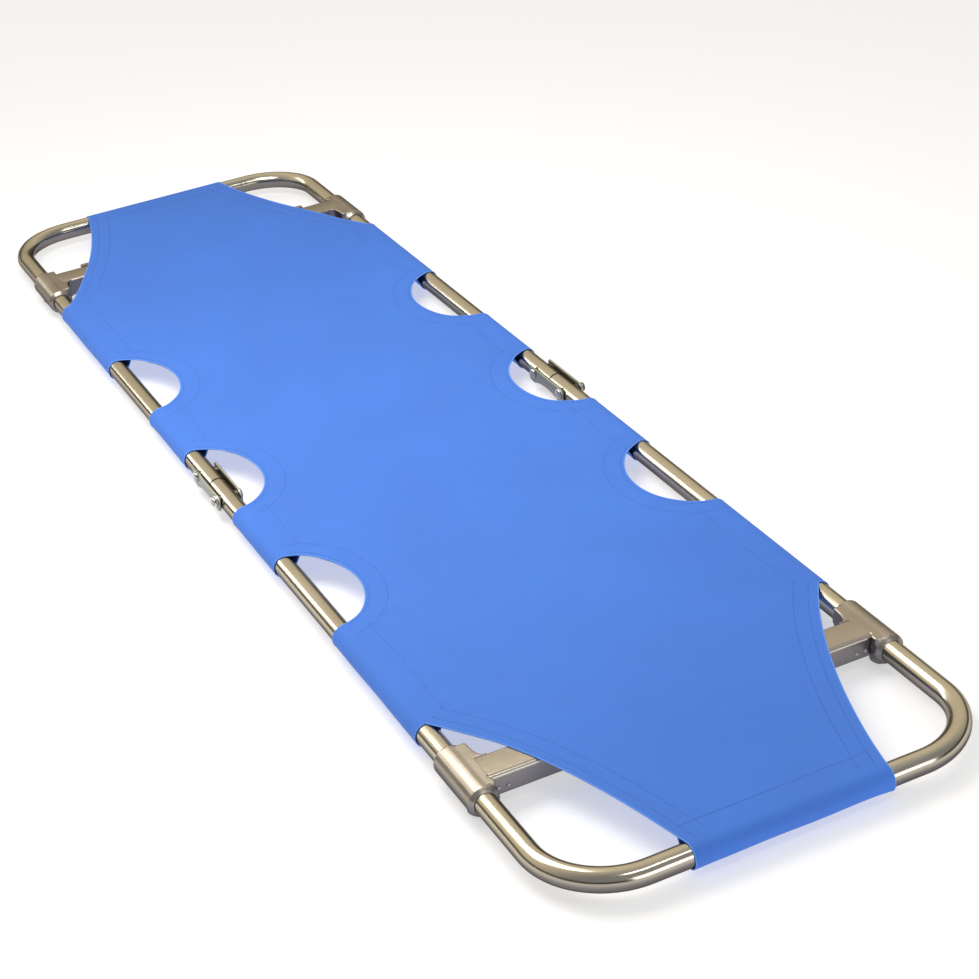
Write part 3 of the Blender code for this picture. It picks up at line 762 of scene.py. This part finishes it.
def make_bed(end, cloth, rim, thread):
    """One half of the bed: the cloth, the facings under its holes, its hem and its stitches."""
    name = ENDS[end]
    round_x, round_y = RAIL_X + FINE_REACH, RAIL_Y + FINE_REACH
    us = grid_lines(
        (-U_END, -round_x, -RAIL_X, RAIL_X, round_x, U_END), (COARSE, FINE, COARSE, FINE, COARSE)
    )
    vs = grid_lines((0, RAIL_Y, round_y, V_END), (COARSE, FINE, COARSE))
    if end < 0:
        vs = -vs[::-1]
    bed, area = cloth_sheet(f"{name}_bed", cloth_distance, us, vs, 0.0, CLOTH)
    inner = us[np.abs(us) < RAIL_X]
    short = vs[np.abs(vs) < CUTOUT_YS[1] + CUTOUT_HALF + FACING + 0.01]
    facing, _ = cloth_sheet(f"{name}_facing", facing_distance, inner, short, -LAYER, CLOTH * 0.8)
    hem = hems(f"{name}_hem", edge_paths(end))
    rows = stitches(f"{name}_stitches", stitch_paths(end))
    for piece, paint in ((bed, cloth), (facing, cloth), (hem, rim), (rows, thread)):
        dress(piece, paint)
        bend_with_frame(piece, end)
    return bed


# Metal ---------------------------------------------------------------------

PIN_HOLE = 0.0068


def drilled(tube, end):
    """Bakes the tube with a hole for the bush of each hinge pin."""
    reach = 1.5 * TUBE_RADIUS
    profile = [(0, reach), (PIN_HOLE, reach), (PIN_HOLE, -reach), (0, -reach)]
    drills = []
    for side in (-1, 1):
        drills.append(turned("drill", profile, along_x(side * RAIL_X, end * PIN_Y, PIN_Z, side)))
        hole = tube.modifiers.new("pin_hole", "BOOLEAN")
        hole.operation = "DIFFERENCE"
        hole.solver = "EXACT"
        hole.object = drills[-1]
    tube = baked(tube)
    for drill in drills:
        bpy.data.objects.remove(drill, do_unlink=True)
    return tube


def make_tube(end, paint):
    bend_x, bend_y = RAIL_X - CORNER_RADIUS, RAIL_Y - CORNER_RADIUS
    path = [(RAIL_X, y) for y in np.linspace(SEAM, bend_y - 0.004, 12)]
    path += arc((bend_x, bend_y), CORNER_RADIUS, 0, 90, 28)
    path += arc((-bend_x, bend_y), CORNER_RADIUS, 90, 180, 28)
    path += [(-RAIL_X, y) for y in np.linspace(bend_y - 0.004, SEAM, 12)]
    places = [(x, end * y, AXIS) for x, y in path]
    tube = sweep(f"{ENDS[end]}_tube", places, TUBE_RADIUS, 22, caps=False)
    wall = tube.modifiers.new("wall", "SOLIDIFY")
    wall.thickness = TUBE_WALL
    wall.offset = -1
    tube = smooth(drilled(tube, end), 50)
    dress(tube, paint)
    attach(tube, f"{ENDS[end]}_frame")
    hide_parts(f"{ENDS[end]}_frame_tube")


BAR_WALL = 0.002
BAR_TIGHT = 0.0034
BAR_BROAD = 0.0065
BAR_OVERLAP = 0.0005


def make_crossbar(end, paint):
    """The rectangular bar; its outer top edge is rounded more than the others."""
    node = f"{ENDS[end]}_crossbar"
    low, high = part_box(node)
    half, height = (high.y - low.y) / 2, (high.z - low.z) / 2
    loops = []
    for inset in (0, BAR_WALL):
        loop = []
        for u, v, start in ((1, 1, 0), (-1, 1, 90), (-1, -1, 180), (1, -1, 270)):
            radius = (BAR_BROAD if (u, v) == (end, 1) else BAR_TIGHT) - inset
            centre = (u * (half - inset - radius), v * (height - inset - radius))
            loop += arc(centre, radius, start, start + 90, 8)
        loops.append(loop)
    turn = Matrix.Rotation(math.pi / 2, 4, "Z") @ Matrix.Rotation(math.pi / 2, 4, "X")
    place = Matrix.Translation((0, (low.y + high.y) / 2, (low.z + high.z) / 2)) @ turn
    bar = plate(f"{ENDS[end]}_bar", loops, high.x - low.x + BAR_OVERLAP, place, 0)
    bar = smooth(bar, 40)
    dress(bar, paint)
    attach(bar, f"{ENDS[end]}_frame")
    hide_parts(node)


def add_block(work, side, end, xs, ys):
    """Fills the fitting gap between a casting and its crossbar, just below the bar's top."""
    spans = (
        sorted(side * x for x in xs),
        sorted(end * y for y in ys),
        (BAR_LOW.z + 0.0003, BAR_HIGH.z - 0.00015),
    )
    middle = [(a + b) / 2 for a, b in spans]
    sizes = [b - a for a, b in spans]
    matrix = Matrix.Translation(middle) @ Matrix.Diagonal((*sizes, 1))
    bmesh.ops.create_cube(work, size=1, matrix=matrix)


# The liner that closes a casting about its tube: radii beside the tube's, and lengths
LINER_INSIDE = -0.0008
LINER_OUTSIDE = 0.0030
LINER_SHORT = 0.0007
SHOULDER_LIP = 0.0006
SHOULDER_REACH = 0.0034
# The blocks that close it about the crossbar: x from and to
BAR_END_BLOCK = (0.2440, 0.2480)
WEB_BLOCK = (0.2290, 0.2480)
SKIN_VOXEL = 0.0009
SKIN_ROUNDS = 9


def make_casting(end, side, paint):
    """The CAD collar with the soft fillets of a casting, close about the tube."""
    node = f"{ENDS[end]}_collar_{SIDES[side]}"
    low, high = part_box(node)
    inner, outer = TUBE_RADIUS + LINER_INSIDE, TUBE_RADIUS + LINER_OUTSIDE
    reach = (high.y - low.y) / 2 - LINER_SHORT
    lip, toe = TUBE_RADIUS + SHOULDER_LIP, reach + SHOULDER_REACH
    ring = [(outer, reach), (outer, -reach), (lip, -toe), (inner, -toe)]
    ring += [(inner, toe), (lip, toe), (outer, reach)]
    turn = Matrix.Rotation(math.pi / 2, 4, "X")
    place = Matrix.Translation((side * RAIL_X, (low.y + high.y) / 2, AXIS))
    liner = turned("liner", ring, place @ turn)
    work = bmesh.new()
    work.from_mesh(NODES[node].data)
    work.from_mesh(liner.data)
    near_side = BAR_LOW.y
    add_block(work, side, end, BAR_END_BLOCK, (near_side + 0.0003, BAR_HIGH.y - BAR_BROAD))
    add_block(work, side, end, WEB_BLOCK, (near_side - 0.0012, near_side + 0.0008))
    casting = link(f"{ENDS[end]}_casting_{SIDES[side]}", bpy.data.meshes.new("casting"))
    work.to_mesh(casting.data)
    work.free()
    bpy.data.objects.remove(liner, do_unlink=True)
    remesh = casting.modifiers.new("skin", "REMESH")
    remesh.mode = "VOXEL"
    remesh.voxel_size = SKIN_VOXEL
    soften = casting.modifiers.new("soften", "SMOOTH")
    soften.factor = 0.5
    soften.iterations = SKIN_ROUNDS
    casting = baked(casting)
    for face in casting.data.polygons:
        face.use_smooth = True
    dress(casting, paint)
    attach(casting, f"{ENDS[end]}_frame")
    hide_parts(node)


PLATE_CORNER = 0.005
PLATE_DROP = 0.001
PLATE_EDGE = 0.0006
WAIST_BEND = -0.0026


def plate_loops():
    """The hinge plate's outline in (y, z) about the point midway between its pins."""
    top = PLATE_HIGH.z - PIN_Z
    lobe = (PLATE_HIGH.z - PLATE_LOW.z) / 2
    centre = top - lobe
    corner = PLATE_CORNER
    loop = arc((-PIN_Y, centre), lobe, 90, 300, 28)
    first = loop[-1]
    last = (-first[0], first[1])
    loop += bezier(first, (0, WAIST_BEND), last, 16)[1:-1]
    loop += arc((PIN_Y, centre), lobe, 240, 275, 8)
    loop += arc((PLATE_HIGH.y - corner, centre - lobe + corner + PLATE_DROP), corner, 275, 360, 10)
    loop += arc((PLATE_HIGH.y - corner, top - corner), corner, 0, 90, 10)
    return [loop]


def make_hinge_plate(side, where, paint):
    node = f"hinge_plate_{where}_{SIDES[side]}"
    low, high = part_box(node)
    turn = Matrix.Rotation(math.pi / 2, 4, "Z") @ Matrix.Rotation(math.pi / 2, 4, "X")
    place = Matrix.Translation(((low.x + high.x) / 2, 0, PIN_Z)) @ turn
    name = f"cheek_{where}_{SIDES[side]}"
    cheek = smooth(plate(name, plate_loops(), high.x - low.x, place, PLATE_EDGE), 50)
    dress(cheek, paint)
    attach(cheek, "hinge_links")
    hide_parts(node)


def dome(radius, height, base, count=10):
    steps = [math.radians(90 * i / count) for i in range(count + 1)]
    return [(radius * math.sin(a), base + height * math.cos(a)) for a in steps]


GAP = 0.0003
SHANK = 0.005
HEAD_UNDERCUT = 0.0002
HEAD_EDGE = 0.0004
NEAR_HEAD_HEIGHT = 0.0036
FLANGE_HEIGHT = 0.0016
BORE = 0.0034
BORE_FLOOR = -0.0120
BUTTON_HEIGHT = 0.0028
STEM = 0.0031
STEM_SHOULDER = 0.0008
STEM_END = -0.0020
NOSE = 0.0019


def capped(head, height, base):
    """A domed head's outline down to the pin's shank."""
    rim = base - HEAD_UNDERCUT
    return dome(head, height, base) + [(head - HEAD_EDGE, rim), (SHANK, rim)]


def below(outline):
    return [(radius, -height) for radius, height in reversed(outline)]


def make_pins(side, paint):
    """Domed rivet heads on the far pin, and a flanged near pin with its button."""
    name = SIDES[side]
    face = PLATE_HIGH.x - RAIL_X + GAP

    def pin(piece, profile, y):
        return turned(f"{piece}_{name}", profile, along_x(side * RAIL_X, y, PIN_Z, side))

    low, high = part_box(f"far_hinge_pin_{name}")
    cap = capped((high.y - low.y) / 2, (high.x - low.x) / 2 - face, face)
    far_pin = pin("far_pin", cap + below(cap), PIN_Y)
    low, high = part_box(f"near_hinge_pin_{name}")
    head, flange = (high.y - low.y) / 2, face + FLANGE_HEIGHT
    profile = [(0, BORE_FLOOR), (BORE, BORE_FLOOR), (BORE, flange), (head - 0.0007, flange)]
    profile += [(head - 0.0002, flange - 0.0003), (head, flange - 0.0008), (head, face)]
    profile += [(SHANK, face - 0.0001)] + below(capped(head, NEAR_HEAD_HEIGHT, face))
    near_pin = pin("near_pin", profile, -PIN_Y)
    low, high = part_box(f"release_button_{name}")
    radius = (high.y - low.y) / 2
    under = max(abs(high.x), abs(low.x)) - RAIL_X - BUTTON_HEIGHT
    profile = dome(radius, BUTTON_HEIGHT, under)
    profile += [(radius - GAP, under - HEAD_UNDERCUT), (STEM, under - HEAD_UNDERCUT)]
    profile += [(STEM, STEM_SHOULDER), (NOSE, STEM_SHOULDER), (NOSE, STEM_END), (0, STEM_END)]
    button = pin("button", profile, -PIN_Y)
    rows = (
        (far_pin, "hinge_links", f"far_hinge_pin_{name}"),
        (near_pin, "hinge_links", f"near_hinge_pin_{name}"),
        (button, f"release_button_{name}", f"release_button_{name}"),
    )
    for piece, body, node in rows:
        dress(smooth(piece, 40), paint)
        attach(piece, body)
        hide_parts(node)


def paint_cad_nodes(paints):
    """CAD pieces whose shape is right keep it and get a better material."""
    for name, node in NODES.items():
        for word, paint in paints:
            if word in name and not node.hide_render:
                node.data.materials.clear()
                node.data.materials.append(paint)
                smooth(node, 35)
                break


# Stage ---------------------------------------------------------------------

def make_floor():
    mesh = bpy.data.meshes.new("floor")
    mesh.from_pydata([(-30, -30, 0), (30, -30, 0), (30, 30, 0), (-30, 30, 0)], [], [(0, 1, 2, 3)])
    floor = link("floor", mesh)
    paint = Paint("pale_floor", (0.60, 0.60, 0.60), 0.0, 0.9)
    paint.shader.inputs["Specular IOR Level"].default_value = 0.0
    paint.shader.inputs["Emission Color"].default_value = (1, 1, 1, 1)
    paint.shader.inputs["Emission Strength"].default_value = 0.50
    dress(floor, paint.material)


def make_world():
    """A soft studio: warm light from the far side, grey behind the camera, a dark low band."""
    world = bpy.data.worlds.new("studio")
    world.use_nodes = True
    bpy.context.scene.world = world
    tree = world.node_tree
    nodes, links = tree.nodes, tree.links
    back = nodes["Background"]
    place = nodes.new("ShaderNodeTexCoord")
    parts = nodes.new("ShaderNodeSeparateXYZ")
    links.new(place.outputs["Generated"], parts.inputs[0])
    sweep_y = nodes.new("ShaderNodeMapRange")
    sweep_y.inputs["From Min"].default_value = -0.3
    sweep_y.inputs["From Max"].default_value = 0.5
    links.new(parts.outputs["Y"], sweep_y.inputs["Value"])
    walls = nodes.new("ShaderNodeMix")
    walls.data_type = "RGBA"
    walls.inputs["A"].default_value = (0.31, 0.32, 0.35, 1)
    walls.inputs["B"].default_value = (0.86, 0.78, 0.63, 1)
    links.new(sweep_y.outputs["Result"], walls.inputs["Factor"])
    height = nodes.new("ShaderNodeValToRGB")
    stops = ((0.0, 0.55), (0.49, 0.50), (0.53, 0.10), (0.60, 0.16), (0.66, 0.95), (1.0, 1.0))
    ramp = height.color_ramp
    while len(ramp.elements) < len(stops):
        ramp.elements.new(0.5)
    for element, (at, value) in zip(ramp.elements, stops):
        element.position = at
        element.color = (value, value, value, 1)
    lift = nodes.new("ShaderNodeMapRange")
    lift.inputs["From Min"].default_value = -1
    lift.inputs["From Max"].default_value = 1
    links.new(parts.outputs["Z"], lift.inputs["Value"])
    links.new(lift.outputs["Result"], height.inputs["Fac"])
    both = nodes.new("ShaderNodeMix")
    both.data_type = "RGBA"
    both.blend_type = "MULTIPLY"
    both.inputs["Factor"].default_value = 1
    links.new(walls.outputs["Result"], both.inputs["A"])
    links.new(height.outputs["Color"], both.inputs["B"])
    links.new(both.outputs["Result"], back.inputs["Color"])
    back.inputs["Strength"].default_value = 1.0


def area_light(name, place, target, size, energy, colour=(1, 1, 1)):
    light = bpy.data.lights.new(name, "AREA")
    light.shape = "RECTANGLE"
    light.size, light.size_y = size
    light.energy = energy
    light.color = colour
    lamp = link(name, light)
    lamp.matrix_world = (
        Matrix.Translation(place)
        @ (Vector(target) - Vector(place)).to_track_quat("-Z", "Y").to_matrix().to_4x4()
    )


def make_lights():
    area_light("overhead", (-0.42, 0.10, 1.35), (-0.2, 0.0, 0), (0.95, 0.95), 17, (1.0, 0.98, 0.96))
    area_light("far_strip", (-2.6, 4.6, 2.6), (0, 0, 0), (0.7, 2.6), 40)
    area_light("near_fill", (0.5, -2.8, 0.5), (0, -0.9, 0), (1.6, 0.7), 11, (0.97, 0.98, 1.0))
    area_light("front_high", (0.6, -2.4, 3.4), (0, -0.3, 0), (1.8, 0.35), 16)


CAMERA_ANGLES = (-23.048, 29.397, -6.206)
CAMERA_DISTANCE = 3.0663
CAMERA_TARGET = (0.0433, -0.2237)
FOCAL_SHARE = 2.3519


def make_camera():
    """The photograph's view, found by fitting a pinhole camera to the frame's outline."""
    azimuth, elevation, roll = (math.radians(angle) for angle in CAMERA_ANGLES)
    target = Vector((*CAMERA_TARGET, AXIS))
    back = Vector((
        math.sin(azimuth) * math.cos(elevation),
        -math.cos(azimuth) * math.cos(elevation),
        math.sin(elevation),
    ))
    data = bpy.data.cameras.new("camera")
    data.sensor_width = 36
    data.lens = data.sensor_width * FOCAL_SHARE
    data.clip_end = 100
    camera = link("camera", data)
    turn = back.to_track_quat("Z", "Y").to_matrix().to_4x4() @ Matrix.Rotation(roll, 4, "Z")
    camera.matrix_world = Matrix.Translation(target + CAMERA_DISTANCE * back) @ turn
    bpy.context.scene.camera = camera


def build():
    cloth = cloth_paint("blue_oxford_cloth", (0.058, 0.186, 0.66), (0.068, 0.212, 0.74))
    # The hem is the bed's own cloth painted lighter: a painted highlight where light catches the
    # rolled edge
    rim = cloth_paint("blue_cloth_edge_painted_highlight", (0.13, 0.32, 0.90), (0.15, 0.35, 0.95))
    thread = thread_paint()
    tube, cast, bar = tube_paint(), cast_paint(), bar_paint()
    zinc, bright = zinc_paint(), bright_paint()
    for end in (-1, 1):
        make_tube(end, tube)
        make_crossbar(end, bar)
        make_bed(end, cloth, rim, thread)
        for side in (-1, 1):
            make_casting(end, side, cast)
    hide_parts("near_canvas", "middle_canvas")
    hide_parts("far_canvas")
    for side in (-1, 1):
        make_pins(side, bright)
        for where in ("outer", "inner"):
            make_hinge_plate(side, where, zinc)
    paint_cad_nodes((
        ("strap_lug", cast), ("rivet", bright), ("spring", bright),
        ("bush", bronze_paint()), ("foot_pad", rubber_paint()),
    ))
    make_floor()
    make_world()
    make_lights()
    make_camera()
    bpy.context.scene.view_settings.view_transform = "Standard"


build()
